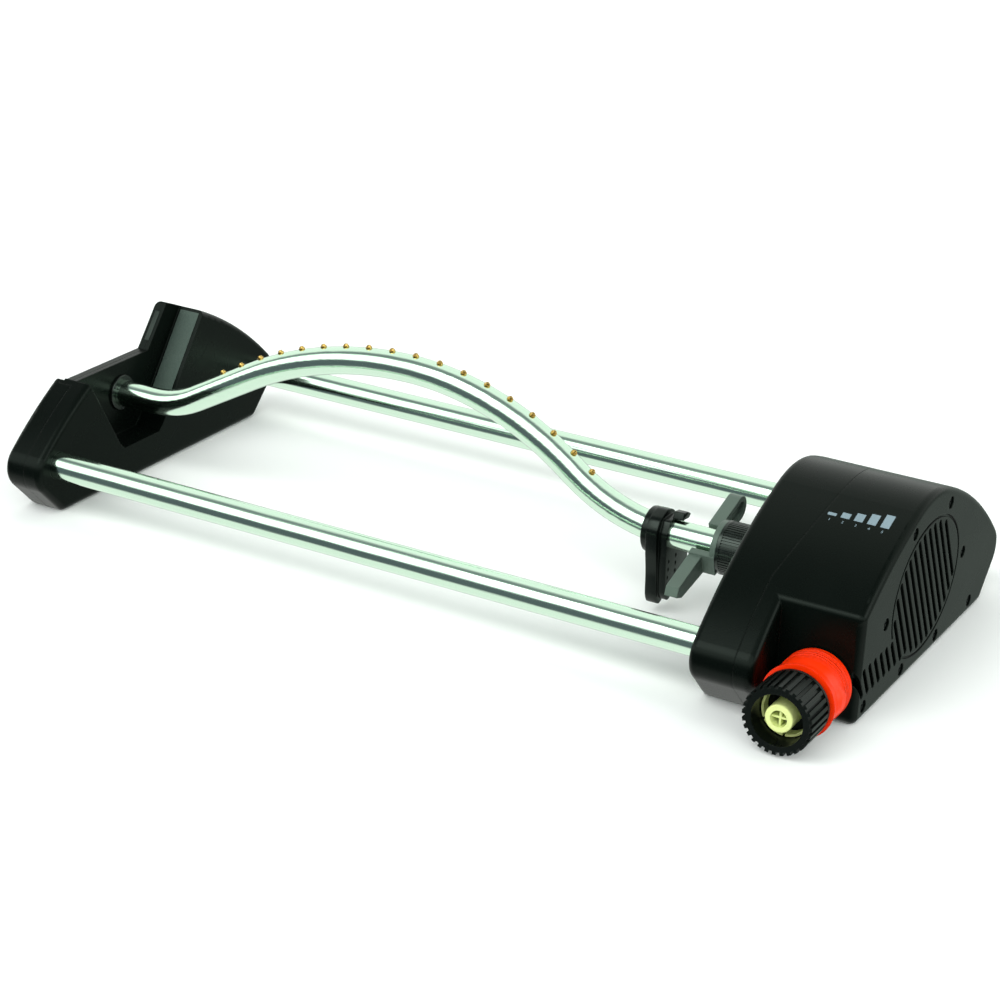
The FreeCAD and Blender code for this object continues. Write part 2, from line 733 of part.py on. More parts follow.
def stage_x(stage):
    """Where the wheel of a stage starts; stage 0 is the crank gear."""
    return gear_x0 + stage * gear_layer


def pinion_span(stage):
    """A stage's pinion meshes with the wheel of the stage before it."""
    x0 = stage_x(stage - 1) - 0.3
    return x0, stage_x(stage) + 0.2


def make_idler(stage, y):
    x0, x1 = pinion_span(stage)
    pinion = gear_disc(pinion_teeth, x0, x1, y, crank_z)
    wheel = gear_disc(wheel_teeth, stage_x(stage), stage_x(stage) + wheel_width, y, crank_z)
    gear = fuse([pinion, wheel])
    return gear.cut(rod_x(pin_radius + shaft_gap, x0 - 1, x1 + 10, y, crank_z))


def make_crank_gear():
    gear = gear_disc(wheel_teeth, stage_x(0), stage_x(0) + wheel_width, crank_y, crank_z)
    return gear.cut(rod_x(3 + seat_gap, case_x0, stage_x(0) + 5, crank_y, crank_z))


def make_crank_shaft():
    shaft = rod_x(3.0, crank_disc_x1 - 2, stage_x(0) + wheel_width, crank_y, crank_z)
    disc = rod_x(crank_radius + 4, crank_disc_x0, crank_disc_x1, crank_y, crank_z)
    disc = disc.cut(box(crank_disc_x0 - 1, crank_disc_x1 + 1, crank_y - 8, crank_y + 8,
                        crank_z + 6, crank_z + 13))
    pin = rod_x(link_pin_radius, link_x1 + free_gap, crank_disc_x0 + 1, crank_y,
                crank_z - crank_radius)
    return fuse([disc, shaft, pin])


def make_turbine_wheel():
    """Hub with curved blades and a pinion on the gear side."""
    x0, _ = pinion_span(4)
    blade_x0 = stage_x(3) + wheel_width + 2.0
    blade_x1 = blade_x0 + 9.0
    pinion = gear_disc(pinion_teeth, x0, blade_x0, crank_y, crank_z)
    hub = rod_x(5.5, blade_x0, blade_x1, crank_y, crank_z)
    plate = rod_x(15.5, blade_x0, blade_x0 + 1.6, crank_y, crank_z)
    blade = arc(Vector(0, 5, 0), Vector(0, 10.5, 2.4), Vector(0, 15.5, 1.0))
    blades = []
    for i in range(12):
        face = blade.extrude(Vector(0, 0, 1.3))
        solid = face.extrude(X * (blade_x1 - blade_x0))
        solid.translate(Vector(blade_x0, crank_y, crank_z))
        solid.rotate(Vector(0, crank_y, crank_z), X, i * 30)
        blades.append(solid)
    wheel = fuse([pinion, hub, plate] + blades)
    return wheel.cut(rod_x(pin_radius + shaft_gap, x0 - 1, blade_x1 + 1, crank_y, crank_z))


def make_gear_pins():
    """Two steel pins: one for the idlers, one for the turbine side of the crank's axis."""
    end = case_seam_x + case_wall - 1
    idle = rod_x(pin_radius, case_inner_x0 - 1.2, end, idle_y, crank_z)
    main = rod_x(pin_radius, stage_x(0) + wheel_width + 0.4, end, crank_y, crank_z)
    return Part.makeCompound([idle, main])


# ---- motor case -------------------------------------------------------------------------------
def case_prism(x0, x1, inset=0.0):
    block = box(x0, x1, case_front_y + inset, case_rear_y - inset, case_low_z + inset,
                case_high_z - inset)
    upright = [e for e in block.Edges if abs(e.tangentAt(e.FirstParameter).x) > 0.9]
    return block.makeFillet(8.0 - inset, upright)


def case_posts(x0, x1, radius):
    return [rod_x(radius, x0, x1, y, z) for y, z in case_screw_places]


def make_motor_case():
    case = case_prism(case_x0, case_seam_x).cut(case_prism(case_inner_x0, case_seam_x + 1, case_wall))
    socket = rod_x(sleeve_outer + 3, socket_x0, case_x0 + 1, bar_y, bar_z)
    seal_boss = rod_x(6.5, case_x0 - 2.6, case_x0 + 1, crank_y, crank_z)
    port = rod_y(nipple_radius + 2.1, case_front_y - 8, case_front_y + 1)
    posts = [p.common(case_prism(case_x0, case_seam_x))
             for p in case_posts(case_x0, case_seam_x, 4.0)]
    case = fuse([case, socket, seal_boss, port] + posts)
    cuts = [rod_x(sleeve_outer + shaft_gap, socket_x0 - 1, case_x0, bar_y, bar_z),
            rod_x(tube_radius - tube_wall, case_x0 - 1, case_inner_x0 + 1, bar_y, bar_z),
            rod_x(3.0 + shaft_gap, case_x0 - 4, case_inner_x0 + 1, crank_y, crank_z),
            ring_x(5.0, 3.0, case_x0 - 4, case_x0 - 0.6, crank_y, crank_z),
            rod_x(pin_radius + seat_gap, case_inner_x0 - 1.3, case_inner_x0 + 1, idle_y, crank_z),
            rod_y(nipple_radius + seat_gap, case_front_y - 9, case_front_y - 1),
            rod_y(4.0, case_front_y - 9, case_front_y + case_wall + 1)]
    for cut in cuts + case_posts(case_x0 - 1, case_seam_x + 1, screw_radius + free_gap):
        case = case.cut(cut)
    return case


def make_motor_cap():
    cap = case_prism(case_seam_x + seam_gap, case_x1)
    bosses = [rod_x(4.0, case_seam_x - 5, case_seam_x + 1, y, crank_z) for y in (crank_y, idle_y)]
    cap = fuse([cap] + bosses)
    for y in (crank_y, idle_y):
        cap = cap.cut(rod_x(pin_radius + seat_gap, case_seam_x - 6, case_x1 - 0.9, y, crank_z))
    for cut in case_posts(case_seam_x - 1, case_x1 + 1, screw_radius + free_gap):
        cap = cap.cut(cut)
    return cap


def make_motor_screws():
    """Long screws through cap and case into the inner shell's standoffs."""
    head_x = case_x1 + screw_head_height + 0.1
    return Part.makeCompound([make_screw(head_x, case_x0 - 9, y, z) for y, z in case_screw_places])


def make_shaft_seal():
    return ring_x(5.0 - seat_gap, 3.0 + seat_gap, case_x0 - 2.6, case_x0 - 0.7, crank_y, crank_z)


# ---- gearbox housing --------------------------------------------------------------------------


def pocket_block(grow):
    """Space of the hose pocket, at the front of the outer shell and open to its end face."""
    return box(pocket_x0 - grow, end_x + 20, -200, pocket_y + grow, -50, 200)


def all_housing_screws():
    return [(side * y, z) for y, z in housing_screw_places for side in (-1, 1)]


def housing_posts(x0, x1, radius):
    return [rod_x(radius, x0, x1, y, z) for y, z in all_housing_screws()]


def beside_seam(gap):
    """Everything on the end face's side of the seam, as far as gap from it."""
    reach = 200.0
    x0 = box_seam_x + gap
    lean_x = x0 + (reach - seam_bend_z) * math.tan(math.radians(seam_lean))
    corners = [(x0, -1), (x0, seam_bend_z), (lean_x, reach), (end_x + reach, reach), (end_x + reach, -1)]
    wire = Part.makePolygon([Vector(x, -reach, z) for x, z in corners + corners[:1]])
    return Part.Face(wire).extrude(Y * 2 * reach)


def housing_block():
    """The gearbox housing's outside, both shells together."""
    block = rounded_dome(box_x, end_x, end_x, box_edge_round)
    block = round_edges(block, box_edge_round, lambda e: lies_at_x(e, box_x))
    block = block.cut(pocket_block(0))
    return round_edges(block, pocket_round, is_pocket_edge)


def is_pocket_edge(edge):
    """The convex edges where the pocket's walls come out of the dome."""
    middle = edge.CenterOfMass
    on_side = lies_at_x(edge, pocket_x0) and middle.y < pocket_y - 1 and middle.z > 1
    on_wall = all(abs(v.Y - pocket_y) < 1e-4 for v in edge.Vertexes) and middle.z > hose_height + 30
    return on_side or (on_wall and abs(middle.y - pocket_y) < 1e-4 and middle.x > pocket_x0 + 1)


def housing_cavity():
    return dome_prism(box_x + shell_wall, end_x - shell_wall, shell_wall).cut(pocket_block(shell_wall))


def make_housing_inner_shell():
    shell = housing_block().cut(housing_cavity()).cut(beside_seam(0))
    sockets = frame_sockets(box_x + 1, box_x + 20, tube_radius + 2.5)
    posts = housing_posts(box_x + 1, post_end_x, post_radius)
    standoffs = case_posts(box_x + 1, case_x0 - 0.1, 4.0)
    boss = rod_x(sleeve_outer + 5, box_x + 1, bush_end_x, bar_y, bar_z)
    shell = fuse([shell, boss] + sockets + posts + standoffs)
    cuts = frame_sockets(box_x - 1, box_x + 18.5, tube_radius + seat_gap)
    cuts += housing_posts(post_end_x - 12, post_end_x + 1, screw_radius + seat_gap)
    cuts += case_posts(case_x0 - 12, case_x0 + 1, screw_radius + seat_gap)
    cuts.append(rod_x(sleeve_outer + 2.5 + seat_gap, box_x - 1, bush_end_x + 1, bar_y, bar_z))
    for cut in cuts:
        shell = shell.cut(cut)
    return shell


# cooling and drain slots in the end face: one family of slanted lines


def inside_ring(y, z, margin):
    return (y / (ring_half_y - margin)) ** 2 + ((z - ring_centre_z) / (ring_half_z - margin)) ** 2 < 1


def slot_ends():
    """Lowest and highest (y, z) of each slot: the tail's are short, the grille's fill the ring."""
    ends = []
    step = 0.25
    for i in range(19):
        foot_y = tail_first_y + i * slot_pitch
        spots = []
        for k in range(int(80 / step)):
            z = slot_floor_z - 4 + k * step
            y = foot_y - (z - slot_floor_z) * math.tan(slot_lean)
            in_tail = slot_floor_z < z < tail_top_z and y < -20
            if in_tail or inside_ring(y, z, ring_margin):
                spots.append((y, z))
        if spots and spots[-1][1] - spots[0][1] > 8:
            ends.append((spots[0], spots[-1]))
    return ends


def slot_cutters():
    cutters = []
    for (y0, z0), (y1, z1) in slot_ends():
        a = slot_half_width
        ends = [rod_x(a, end_x - shell_wall - 1, end_x + 1, y, z) for y, z in ((y0, z0), (y1, z1))]
        across = Vector(0, z1 - z0, -(y1 - y0)).normalize() * a
        bar = polygon_prism([(y0 - across.y, z0 - across.z), (y1 - across.y, z1 - across.z),
                             (y1 + across.y, z1 + across.z), (y0 + across.y, z0 + across.z)],
                            end_x - shell_wall - 1, end_x + 1)
        cutters += ends + [bar]
    return cutters


def ring_groove():
    outer = Part.Ellipse(Vector(end_x, 0, ring_centre_z), ring_half_y + ring_groove_width / 2,
                         ring_half_z + ring_groove_width / 2)
    inner = Part.Ellipse(Vector(end_x, 0, ring_centre_z), ring_half_y - ring_groove_width / 2,
                         ring_half_z - ring_groove_width / 2)
    solids = []
    for ellipse in (outer, inner):
        ring = ellipse.toShape()
        ring.rotate(Vector(end_x, 0, ring_centre_z), Y, 90)
        ring.rotate(Vector(end_x, 0, ring_centre_z), X, 90)
        ring.translate(Vector(-ring_groove_depth, 0, 0))
        solids.append(Part.Face(Part.Wire(ring)).extrude(X * 2))
    groove = solids[0].cut(solids[1])
    return groove.cut(box(end_x - 2, end_x + 2, -60, -24, 0, tail_top_z + 3))


def make_housing_outer_shell():
    block = housing_block().common(beside_seam(seam_gap))
    shell = block.cut(housing_cavity())
    bosses = [b.common(block) for b in housing_posts(post_end_x + seam_gap, end_x - 1, post_radius)]
    shell = fuse([shell] + bosses)
    cuts = housing_posts(end_x - screw_head_height - 1.2, end_x + 1, screw_head_radius + 0.2)
    cuts += housing_posts(post_end_x - 1, end_x + 1, screw_radius + free_gap)
    cuts += slot_cutters() + [ring_groove(), rod_y(8.0, pocket_y - 1, pocket_y + shell_wall + 1)]
    for cut in cuts:
        shell = shell.cut(cut)
    return shell


def make_housing_screws():
    head_x = end_x - 0.9
    return Part.makeCompound([make_screw(head_x, head_x - screw_length, y, z)
                              for y, z in all_housing_screws()])


# ---- inlet and hose connector -----------------------------------------------------------------


def make_inlet_nipple():
    """Male quick-connect stem outside the pocket wall, plain pipe inside it."""
    pipe = rod_y(nipple_radius, pocket_y, case_front_y - 1.2)
    root = rod_y(8.0 - seat_gap, pocket_y - 1, pocket_y + shell_wall)
    flange = rod_y(10.5, pocket_y - 1.4, pocket_y - seat_gap)
    stem = rod_y(7.6, pocket_y - 20, pocket_y - 1)
    neck = ring_y(9, 6.6, pocket_y - 10, pocket_y - 6.5)
    nose = ring_y(9, 6.9, pocket_y - 21, pocket_y - 17)
    groove = ring_y(9, 5.9, pocket_y - 15, pocket_y - 12.8)
    nipple = fuse([pipe, root, flange, stem]).cut(neck).cut(nose).cut(groove)
    bore = rod_y(3.8, pocket_y - 22, case_front_y)
    strainer_seat = rod_y(4.9 + seat_gap, pocket_y - 21, pocket_y - 14)
    return nipple.cut(bore).cut(strainer_seat)


def make_inlet_seal():
    return o_ring(6.75, 0.82, Vector(hose_x, pocket_y - 13.9, hose_height), Y)


def make_inlet_strainer():
    """Filter thimble pushed into the nipple's mouth."""
    rim = ring_y(4.9, 3.0, pocket_y - 20, pocket_y - 18.5)
    mesh = rod_y(4.9, pocket_y - 18.5, pocket_y - 14.1).cut(rod_y(4.2, pocket_y - 19, pocket_y - 15))
    for i in range(6):
        slot = box(hose_x - 0.4, hose_x + 0.4, pocket_y - 18, pocket_y - 15.6,
                   hose_height + 3, hose_height + 6)
        slot.rotate(Vector(hose_x, 0, hose_height), Y, i * 60)
        mesh = mesh.cut(slot)
    return fuse([rim, mesh])


def make_connector_core():
    """Body of the hose connector: socket over the nipple, thread for the nut."""
    socket = rod_y(core_radius, pocket_y - 4.5, core_y0)
    thread = rod_y(core_thread_radius, core_y0 + 2, core_y0 - 11)
    core = fuse([socket, thread]).cut(rod_y(7.6 + 0.1, pocket_y - 4, core_y0))
    turns = [ring_y(core_thread_radius + 1, core_thread_radius - 0.7, core_y0 - 4 - i * 2,
                    core_y0 - 5 - i * 2) for i in range(3)]
    core = core.cut(Part.makeCompound(turns))
    core = core.cut(rod_y(4.2, core_y0 + 1, core_y0 - 12))
    core = core.cut(rod_y(tail_radius - 0.6 + seat_gap, core_y0 - 3.0, core_y0 - 12))
    windows = [claw_block(i, core_radius + 1, seat_gap + 0.1) for i in range(3)]
    return core.cut(Part.makeCompound(windows))


def claw_block(index, outer, grow):
    """One of three locking claws, which drop into the nipple's neck."""
    claw = box(hose_x - 2.2 - grow, hose_x + 2.2 + grow, pocket_y - 9.4 - grow, pocket_y - 7.1 + grow,
               hose_height + 7.0 - grow, hose_height + outer)
    claw.rotate(Vector(hose_x, 0, hose_height), Y, 60 + index * 120)
    return claw.common(rod_y(outer, pocket_y - 12, pocket_y - 4))


def make_locking_claws():
    return Part.makeCompound([claw_block(i, core_radius, 0) for i in range(3)])


def make_connector_sleeve():
    """Release sleeve with fine rings near the housing and a finger grip on each side."""
    sleeve = rod_y(sleeve_radius - 0.7, sleeve_y0, sleeve_y1)
    flare = Part.makeCone(sleeve_radius - 0.7, sleeve_radius + sleeve_flare, 5.0,
                          Vector(hose_x, sleeve_y1 + 5.0, hose_height), Y * -1)
    rings = [rod_y(sleeve_radius - 0.2, sleeve_y0 - 2.2 - i * 1.8, sleeve_y0 - 3.1 - i * 1.8)
             for i in range(4)]
    grips = []
    for side in (-1, 1):
        grip = Part.makeSphere(9.0, Vector(hose_x + side * 10.2, sleeve_y1 + 10.5, hose_height))
        grips.append(grip.common(rod_y(sleeve_radius + 0.8, sleeve_y0 - 1, sleeve_y1 + 1)))
    sleeve = fuse([sleeve, flare] + rings + grips)
    sleeve = sleeve.cut(rod_y(core_radius + free_gap, sleeve_y0 - 4, sleeve_y0 + 1))
    sleeve = sleeve.cut(rod_y(core_radius + shaft_gap, sleeve_y0 - 12, sleeve_y0))
    return sleeve.cut(rod_y(sleeve_radius - 2.6, sleeve_y0 - 9.5, sleeve_y1 - 1))


def make_hose_nut():
    """Ribbed nut that clamps the hose, toothed at its rim."""
    body = rod_y(nut_radius - nut_rib_depth, nut_y0, nut_y1)
    neck = rod_y(sleeve_radius - 2.6 - free_gap, nut_y0 + sleeve_travel + 2.0, nut_y0)
    rim = rod_y(nut_radius - 0.2, nut_y0, nut_y0 - 1.6)
    rib = box(hose_x - nut_rib_width / 2, hose_x + nut_rib_width / 2, nut_y1, nut_y0 - 2.6,
              hose_height + nut_radius - nut_rib_depth - 0.8, hose_height + nut_radius)
    ribs = []
    for i in range(nut_ribs):
        copy = rib.copy()
        copy.rotate(Vector(hose_x, 0, hose_height), Y, i * 360 / nut_ribs)
        ribs.append(copy)
    nut = fuse([body, neck, rim] + ribs)
    nut = nut.cut(rod_y(core_thread_radius + shaft_gap, nut_y0 + sleeve_travel + 3, collet_y0))
    taper = Part.makeCone(core_thread_radius + shaft_gap, nut_mouth_radius, nut_bore_length,
                          Vector(hose_x, collet_y0 + 0.01, hose_height), Y * -1)
    return nut.cut(taper)


def make_hose_collet():
    """Split ring of fingers that the nut closes on the hose."""
    outer = rod_y(core_thread_radius - 0.3, collet_y0 - 0.2, collet_y0 - 5.6)
    ring = outer.cut(rod_y(core_thread_radius - 1.5, collet_y0 + 1, collet_y0 - 8))
    for i in range(6):
        gap = box(hose_x - 0.6, hose_x + 0.6, collet_y0 - 8, collet_y0 - 2,
                  hose_height, hose_height + nut_radius)
        gap.rotate(Vector(hose_x, 0, hose_height), Y, i * 60)
        ring = ring.cut(gap)
    return ring


def make_hose_tail():
    """Spigot that the hose pushes over, with a flow cross inside."""
    tip_y = nut_y1 + tail_set_back
    tail = fuse([rod_y(tail_radius - 0.6, core_y0 - 3.1, core_y0 - 12),
                 rod_y(tail_radius, core_y0 - 11.1, tip_y)])
    tail = round_edges(tail, 0.8, lambda e: abs(e.CenterOfMass.y - tip_y) < 0.01)
    tail = tail.cut(rod_y(tail_bore, core_y0, nut_y1 - 1))
    bars = [box(hose_x - tail_bore - 0.3, hose_x + tail_bore + 0.3, tip_y + 2, tip_y + 8,
                hose_height - 0.55, hose_height + 0.55),
            box(hose_x - 0.55, hose_x + 0.55, tip_y + 2, tip_y + 8,
                hose_height - tail_bore - 0.3, hose_height + tail_bore + 0.3)]
    return fuse([tail] + bars)


def main():
    os.makedirs("parts", exist_ok=True)
    export("foot_inner_shell", make_foot_inner_shell())
    export("foot_outer_cover", make_foot_outer_cover())
    export("foot_screws", make_foot_screws())
    export("pivot_bush", make_pivot_bush())
    export("front_tube", make_frame_tube(-1))
    export("rear_tube", make_frame_tube(1))
    export("spray_tube", make_spray_tube())
    export("nozzles", make_nozzles())
    export("bar_end_plug", make_bar_end_plug())
    export("bar_end_seal", make_bar_end_seal())
    export("clamp_lever", make_clamp_lever())
    export("drive_sleeve", make_drive_sleeve())
    export("outlet_seal", make_outlet_seal())
    export("bar_seal", make_bar_seal())
    export("slotted_arm", make_slotted_arm())
    export("range_collar", make_range_collar())
    export("spindle_bush", make_spindle_bush())
    export("rocker", make_rocker())
    export("connecting_link", make_connecting_link())
    export("crank_shaft", make_crank_shaft())
    export("crank_gear", make_crank_gear())
    export("third_gear", make_idler(1, idle_y))
    export("second_gear", make_idler(2, crank_y))
    export("first_gear", make_idler(3, idle_y))
    export("turbine_wheel", make_turbine_wheel())
    export("gear_pins", make_gear_pins())
    export("shaft_seal", make_shaft_seal())
    export("motor_case", make_motor_case())
    export("motor_cap", make_motor_cap())
    export("motor_screws", make_motor_screws())
    export("housing_inner_shell", make_housing_inner_shell())
    export("housing_outer_shell", make_housing_outer_shell())
    export("housing_screws", make_housing_screws())
    export("inlet_nipple", make_inlet_nipple())
    export("inlet_seal", make_inlet_seal())
    export("inlet_strainer", make_inlet_strainer())
    export("connector_core", make_connector_core())
    export("locking_claws", make_locking_claws())
    export("connector_sleeve", make_connector_sleeve())
    export("hose_nut", make_hose_nut())
    export("hose_collet", make_hose_collet())
    export("hose_tail", make_hose_tail())


main()
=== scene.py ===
import bmesh
import bpy
import json
import math
from mathutils import Matrix, Vector


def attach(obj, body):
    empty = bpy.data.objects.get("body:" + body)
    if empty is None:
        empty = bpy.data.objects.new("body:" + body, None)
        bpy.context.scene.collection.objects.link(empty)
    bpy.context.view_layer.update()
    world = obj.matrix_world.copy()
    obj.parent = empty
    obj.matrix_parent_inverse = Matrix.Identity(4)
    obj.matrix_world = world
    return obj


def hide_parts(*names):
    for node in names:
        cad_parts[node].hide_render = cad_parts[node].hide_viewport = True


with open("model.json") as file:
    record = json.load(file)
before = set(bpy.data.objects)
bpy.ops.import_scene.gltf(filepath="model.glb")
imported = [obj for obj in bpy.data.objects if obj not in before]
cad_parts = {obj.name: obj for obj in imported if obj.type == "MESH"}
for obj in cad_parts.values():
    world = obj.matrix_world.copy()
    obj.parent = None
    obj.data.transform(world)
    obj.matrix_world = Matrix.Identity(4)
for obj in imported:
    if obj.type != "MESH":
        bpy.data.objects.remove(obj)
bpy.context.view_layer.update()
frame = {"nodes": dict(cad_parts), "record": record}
nodes = frame["nodes"]
mm = 0.001
print("frame loaded:", len(nodes), "nodes")

# camera

cameraLook = dict(place=(596.5, -1072.5, 543.9), turn=28.70, tilt=23.34, roll=2.61,
                  lens=90.3, sensor=36.0, shiftY=0.032)


def addCamera(look):
    camera = bpy.data.objects.new("camera", bpy.data.cameras.new("camera"))
    camera.data.lens = look["lens"]
    camera.data.sensor_width = look["sensor"]
    camera.data.shift_y = look["shiftY"]
    camera.data.clip_start = 0.01
    aim = (Matrix.Rotation(math.radians(look["turn"]), 4, "Z")
           @ Matrix.Rotation(math.radians(90 - look["tilt"]), 4, "X")
           @ Matrix.Rotation(math.radians(look["roll"]), 4, "Z"))
    camera.matrix_world = Matrix.Translation(Vector(look["place"]) * mm) @ aim
    bpy.context.scene.collection.objects.link(camera)
    bpy.context.scene.camera = camera


addCamera(cameraLook)
bpy.context.scene.view_settings.view_transform = "Standard"
bpy.context.scene.view_settings.look = "None"
print("camera placed")

# studio: one wide room of light, seen by the metal as bright and dark bands;
# each band is given in degrees above the front

studio = dict(floorSize=60.0, floorColour=(0.93, 0.94, 0.93), floorRoughness=0.9,
              wallRadius=24.0, wallHeight=30.0, wallGlow=1.0, roomStrength=1.0,
              bands=[(-180, (0.40, 0.47, 0.42)), (-140, (0.40, 0.47, 0.42)),
                     (-118, (1.05, 1.08, 1.04)), (-42, (1.05, 1.08, 1.04)),
                     (-31, (0.12, 0.14, 0.16)), (12, (0.12, 0.14, 0.16)),
                     (24, (2.3, 2.4, 2.35)), (58, (2.3, 2.4, 2.35)),
                     (72, (0.24, 0.27, 0.28)), (90, (0.24, 0.27, 0.28)),
                     (106, (1.10, 1.15, 1.10)), (180, (1.10, 1.15, 1.10))],
              lamps=[dict(name="keyLamp", place=(-0.5, -1.3, 1.7), size=1.2, power=9),
                     dict(name="sideLamp", place=(1.9, 0.2, 0.9), size=1.0, power=7)])


def onlyVerts(geometry):
    return [item for item in geometry if isinstance(item, bmesh.types.BMVert)]


def addStage(name, bm, paint):
    mesh = bpy.data.meshes.new(name)
    bm.to_mesh(mesh)
    bm.free()
    mesh.materials.append(paint)
    piece = bpy.data.objects.new(name, mesh)
    piece.visible_glossy = False      # the metal mirrors the room's bands instead
    bpy.context.scene.collection.objects.link(piece)
    return piece


def newPaint(name):
    paint = bpy.data.materials.new(name)
    paint.use_nodes = True
    return paint, paint.node_tree.nodes["Principled BSDF"].inputs


def addFloor(look):
    paint, values = newPaint("floorPaint")
    values["Base Color"].default_value = (*look["floorColour"], 1)
    values["Roughness"].default_value = look["floorRoughness"]
    bm = bmesh.new()
    bmesh.ops.create_grid(bm, x_segments=2, y_segments=2, size=look["floorSize"] / 2)
    addStage("floor", bm, paint)


def addWall(look):
    paint, values = newPaint("wallPaint")
    values["Base Color"].default_value = (0, 0, 0, 1)
    values["Emission Color"].default_value = (*look["floorColour"], 1)
    values["Emission Strength"].default_value = look["wallGlow"]
    bm = bmesh.new()
    bmesh.ops.create_circle(bm, segments=96, radius=look["wallRadius"])
    grown = bmesh.ops.extrude_edge_only(bm, edges=bm.edges[:])["geom"]
    bmesh.ops.translate(bm, vec=(0, 0, look["wallHeight"]), verts=onlyVerts(grown))
    wall = addStage("wall", bm, paint)
    wall.visible_diffuse = False      # only the camera sees it, past the floor's edge
    wall.visible_shadow = False


def addRoom(look):
    world = bpy.data.worlds.new("studioRoom")
    world.use_nodes = True
    tree = world.node_tree
    tree.nodes.clear()
    place = tree.nodes.new("ShaderNodeTexCoord")
    parts = tree.nodes.new("ShaderNodeSeparateXYZ")
    tree.links.new(place.outputs["Generated"], parts.inputs[0])
    back = tree.nodes.new("ShaderNodeMath")
    back.operation = "MULTIPLY"
    back.inputs[1].default_value = -1
    tree.links.new(parts.outputs["Y"], back.inputs[0])
    angle = tree.nodes.new("ShaderNodeMath")
    angle.operation = "ARCTAN2"
    tree.links.new(parts.outputs["Z"], angle.inputs[0])
    tree.links.new(back.outputs[0], angle.inputs[1])
    share = tree.nodes.new("ShaderNodeMath")
    share.operation = "MULTIPLY_ADD"
    share.inputs[1].default_value = 0.5 / math.pi
    share.inputs[2].default_value = 0.5
    tree.links.new(angle.outputs[0], share.inputs[0])
    ramp = tree.nodes.new("ShaderNodeValToRGB")
    tree.links.new(share.outputs[0], ramp.inputs[0])
    while len(ramp.color_ramp.elements) > 1:
        ramp.color_ramp.elements.remove(ramp.color_ramp.elements[-1])
    for index, (degrees, colour) in enumerate(look["bands"]):
        spot = degrees / 360 + 0.5
        stop = ramp.color_ramp.elements.new(spot) if index else ramp.color_ramp.elements[0]
        stop.position = spot
        stop.color = (*colour, 1)
    light = tree.nodes.new("ShaderNodeBackground")
    light.inputs["Strength"].default_value = look["roomStrength"]
    tree.links.new(ramp.outputs["Color"], light.inputs["Color"])
    end = tree.nodes.new("ShaderNodeOutputWorld")
    tree.links.new(light.outputs[0], end.inputs["Surface"])
    bpy.context.scene.world = world


def addLamp(look):
    lamp = bpy.data.objects.new(look["name"], bpy.data.lights.new(look["name"], "AREA"))
    lamp.data.shape = "DISK"
    lamp.data.size = look["size"]
    lamp.data.energy = look["power"]
    lamp.location = look["place"]
    lamp.rotation_euler = (-Vector(look["place"])).to_track_quat("-Z", "Y").to_euler()
    bpy.context.scene.collection.objects.link(lamp)


addFloor(studio)
addWall(studio)
addRoom(studio)
for lampLook in studio["lamps"]:
    addLamp(lampLook)
print("studio lit")

# finishes

finishes = dict(
    housingBlack=dict(colour=(0.0014, 0.0026, 0.0019), roughness=0.27, specular=0.10, soft=0.9,
                      grain=1300, depth=0.00002),
    controlBlack=dict(colour=(0.0018, 0.0028, 0.0023), roughness=0.22, specular=0.24, soft=0.6,
                      grain=1100, depth=0.00002),
    connectorBlack=dict(colour=(0.0020, 0.0030, 0.0025), roughness=0.28, specular=0.22, soft=0.35,
                        grain=1000, depth=0.00002),
    tailLime=dict(colour=(0.68, 0.75, 0.29), roughness=0.36, specular=0.4, soft=0.4,
                  grain=900, depth=0.00001),
    # painted light: this grey stands for light caught by the recess wall; the grain bump is
    # texture
    grainedPaintedLight=dict(colour=(0.055, 0.078, 0.066), roughness=0.6, specular=0.3, soft=0.2,
                     grain=1200, depth=0.0004),
    printPale=dict(colour=(0.20, 0.27, 0.31), roughness=0.5, specular=0.4, soft=0.02,
                   grain=2500, depth=0.000005),
    knurlBlack=dict(colour=(0.0060, 0.0080, 0.0070), roughness=0.26, specular=0.45, soft=0.15,
                    grain=1100, depth=0.00001),
    panelBlack=dict(colour=(0.012, 0.017, 0.014), roughness=0.4, specular=0.3, soft=0.2,
                    grain=1200, depth=0.0002),
    # painted sheen: the slotted arm's grey stands for sheen on a black part
    armPaintedSheen=dict(colour=(0.085, 0.118, 0.096), roughness=0.42, specular=0.4, soft=0.8,
                 grain=900, depth=0.00002),
    bearingBlack=dict(colour=(0.004, 0.005, 0.0045), roughness=0.22, specular=0.45, soft=0.3,
                      grain=900, depth=0.00001),
    motorGrey=dict(colour=(0.03, 0.035, 0.033), roughness=0.5, specular=0.4, soft=0.5,
                   grain=600, depth=0.00002),
    gearIvory=dict(colour=(0.70, 0.69, 0.62), roughness=0.4, specular=0.5, soft=0.15,
                   grain=800, depth=0.00001),
    sealRubber=dict(colour=(0.010, 0.010, 0.010), roughness=0.75, specular=0.3, soft=0.2,
                    grain=1500, depth=0.00002),
)


